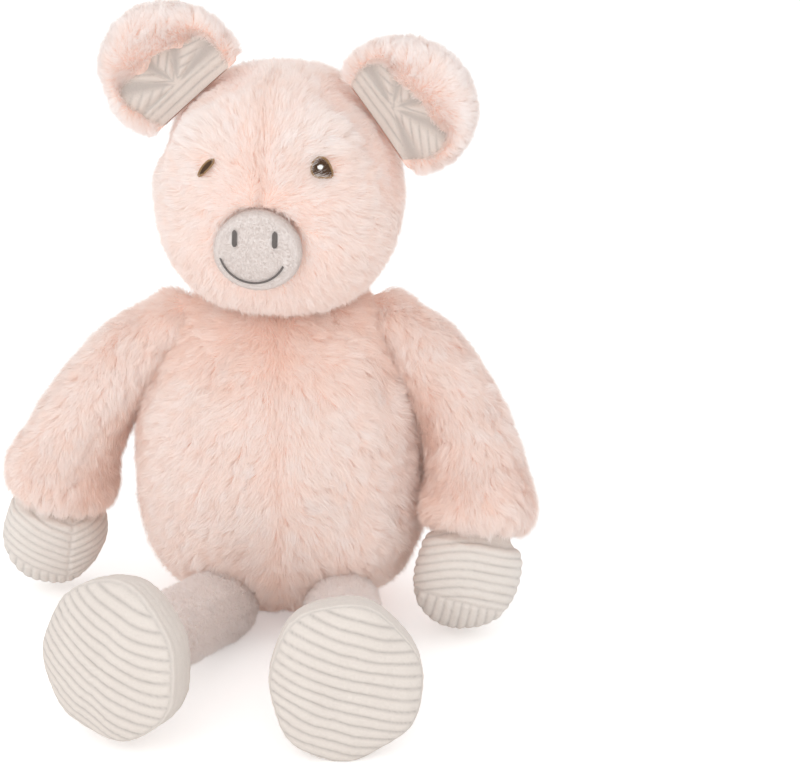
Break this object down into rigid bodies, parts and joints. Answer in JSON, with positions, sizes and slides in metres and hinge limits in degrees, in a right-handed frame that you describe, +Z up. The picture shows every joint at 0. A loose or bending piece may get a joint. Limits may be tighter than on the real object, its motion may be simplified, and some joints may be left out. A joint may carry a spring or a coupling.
{
  "type": "plush pig",
  "caption": "Sitting long-limbed plush pig with long-pile fur, corduroy hands, feet and ear linings, velour legs and snout.",
  "frame": {"origin": "middle of the flat seat under the body", "axes": "+Z up, the pig faces -Y, +X to the right of a viewer in front of it"},
  "size_m": [0.2412, 0.2385, 0.2789],
  "materials": {
    "fur": "long pile",
    "corduroy": "ribbed",
    "velour": "short pile",
    "filling": "loose fibre",
    "thread": "satin stitch",
    "eye_thread": "satin stitch",
    "pellet_bag": "plain weave"
  },
  "bodies": {
    "trunk": {"body_cover": "fur", "body_filling": "filling", "pellet_bag": "pellet_bag"},
    "neck": {"neck_filling": "filling"},
    "head": {"head_cover": "fur", "head_filling": "filling", "snout_cover": "velour", "snout_pad": "filling", "nostril_right": "thread", "nostril_left": "thread", "mouth_line": "thread", "eye_right": "eye_thread", "eye_left": "eye_thread"},
    "ear_right": {"ear_outer_right": "fur", "ear_lining_right": "corduroy"},
    "ear_left": {"ear_outer_left": "fur", "ear_lining_left": "corduroy"},
    "shoulder_right": {"shoulder_filling_right": "filling"},
    "shoulder_left": {"shoulder_filling_left": "filling"},
    "arm_right": {"arm_cover_right": "fur", "arm_filling_right": "filling"},
    "arm_left": {"arm_cover_left": "fur", "arm_filling_left": "filling"},
    "hand_right": {"hand_cover_right": "corduroy", "hand_filling_right": "filling"},
    "hand_left": {"hand_cover_left": "corduroy", "hand_filling_left": "filling"},
    "hip_right": {"hip_filling_right": "filling"},
    "hip_left": {"hip_filling_left": "filling"},
    "leg_right": {"leg_cover_right": "velour", "leg_filling_right": "filling"},
    "leg_left": {"leg_cover_left": "velour", "leg_filling_left": "filling"},
    "foot_right": {"foot_gusset_right": "corduroy", "foot_sole_right": "corduroy", "foot_filling_right": "filling"},
    "foot_left": {"foot_gusset_left": "corduroy", "foot_sole_left": "corduroy", "foot_filling_left": "filling"},
    "tail": {"tail": "velour"}
  },
  "joints": [
    {"name": "head_turn", "type": "hinge", "parent": "trunk", "child": "neck", "pos_m": [0, -0.009, 0.1985], "axis": [0, 0, 1], "range_deg": [-45, 45], "stiffness_Nm_per_rad": 0.3},
    {"name": "head_nod", "type": "hinge", "parent": "neck", "child": "head", "pos_m": [0, -0.009, 0.1985], "axis": [0.9903, -0.1392, 0], "range_deg": [-20, 20], "stiffness_Nm_per_rad": 0.4},
    {"name": "ear_flop_right", "type": "hinge", "parent": "head", "child": "ear_right", "pos_m": [0.04338, -0.01308, 0.22898], "axis": [0.568, -0.0798, -0.8192], "range_deg": [-40, 40], "stiffness_Nm_per_rad": 0.03},
    {"name": "ear_flop_left", "type": "hinge", "parent": "head", "child": "ear_left", "pos_m": [-0.03506, -0.00104, 0.2376], "axis": [0.7301, -0.1026, 0.6756], "range_deg": [-40, 40], "stiffness_Nm_per_rad": 0.03},
    {"name": "arm_swing_right", "type": "hinge", "parent": "trunk", "child": "shoulder_right", "pos_m": [0.04852, 0, 0.134], "axis": [1, 0, 0], "range_deg": [-110, 0], "stiffness_Nm_per_rad": 0.3},
    {"name": "arm_swing_left", "type": "hinge", "parent": "trunk", "child": "shoulder_left", "pos_m": [-0.04852, 0, 0.134], "axis": [1, 0, 0], "range_deg": [-110, 40], "stiffness_Nm_per_rad": 0.3},
    {"name": "arm_lift_right", "type": "hinge", "parent": "shoulder_right", "child": "arm_right", "pos_m": [0.04852, 0, 0.134], "axis": [0, 0.9455, -0.3256], "range_deg": [-50, 0], "stiffness_Nm_per_rad": 0.3},
    {"name": "arm_lift_left", "type": "hinge", "parent": "shoulder_left", "child": "arm_left", "pos_m": [-0.04852, 0, 0.134], "axis": [0, 0.9945, 0.1045], "range_deg": [0, 50], "stiffness_Nm_per_rad": 0.3},
    {"name": "wrist_bend_right", "type": "hinge", "parent": "arm_right", "child": "hand_right", "pos_m": [0.08692, -0.02867, 0.05072], "axis": [0, 0.9455, -0.3256], "range_deg": [-15, 5], "stiffness_Nm_per_rad": 0.15},
    {"name": "wrist_bend_left", "type": "hinge", "parent": "arm_left", "child": "hand_left", "pos_m": [-0.1032, 0.00851, 0.05305], "axis": [0, 0.9945, 0.1045], "range_deg": [-10, 15], "stiffness_Nm_per_rad": 0.15},
    {"name": "leg_swing_right", "type": "hinge", "parent": "trunk", "child": "hip_right", "pos_m": [0.027, -0.04796, 0.0175], "axis": [1, 0, 0], "range_deg": [-8, 90], "stiffness_Nm_per_rad": 0.5},
    {"name": "leg_swing_left", "type": "hinge", "parent": "trunk", "child": "hip_left", "pos_m": [-0.027, -0.04646, 0.0175], "axis": [1, 0, 0], "range_deg": [-8, 90], "stiffness_Nm_per_rad": 0.5},
    {"name": "leg_splay_right", "type": "hinge", "parent": "hip_right", "child": "leg_right", "pos_m": [0.027, -0.04796, 0.0175], "axis": [0, 0, 1], "range_deg": [-5, 30], "stiffness_Nm_per_rad": 0.3},
    {"name": "leg_splay_left", "type": "hinge", "parent": "hip_left", "child": "leg_left", "pos_m": [-0.027, -0.04646, 0.0175], "axis": [0, 0, 1], "range_deg": [-25, 5], "stiffness_Nm_per_rad": 0.3},
    {"name": "ankle_bend_right", "type": "hinge", "parent": "leg_right", "child": "foot_right", "pos_m": [0.02899, -0.12377, 0.03087], "axis": [0.999, 0.0436, -0.0012], "range_deg": [-20, 20], "stiffness_Nm_per_rad": 0.2},
    {"name": "ankle_bend_left", "type": "hinge", "parent": "leg_left", "child": "foot_left", "pos_m": [-0.05152, -0.11768, 0.03351], "axis": [0.8991, -0.4375, 0.0149], "range_deg": [-20, 20], "stiffness_Nm_per_rad": 0.2},
    {"name": "tail_flop", "type": "hinge", "parent": "trunk", "child": "tail", "pos_m": [0, 0.0577, 0.044], "axis": [1, 0, 0], "range_deg": [-45, 5], "stiffness_Nm_per_rad": 0.004}
  ]
}
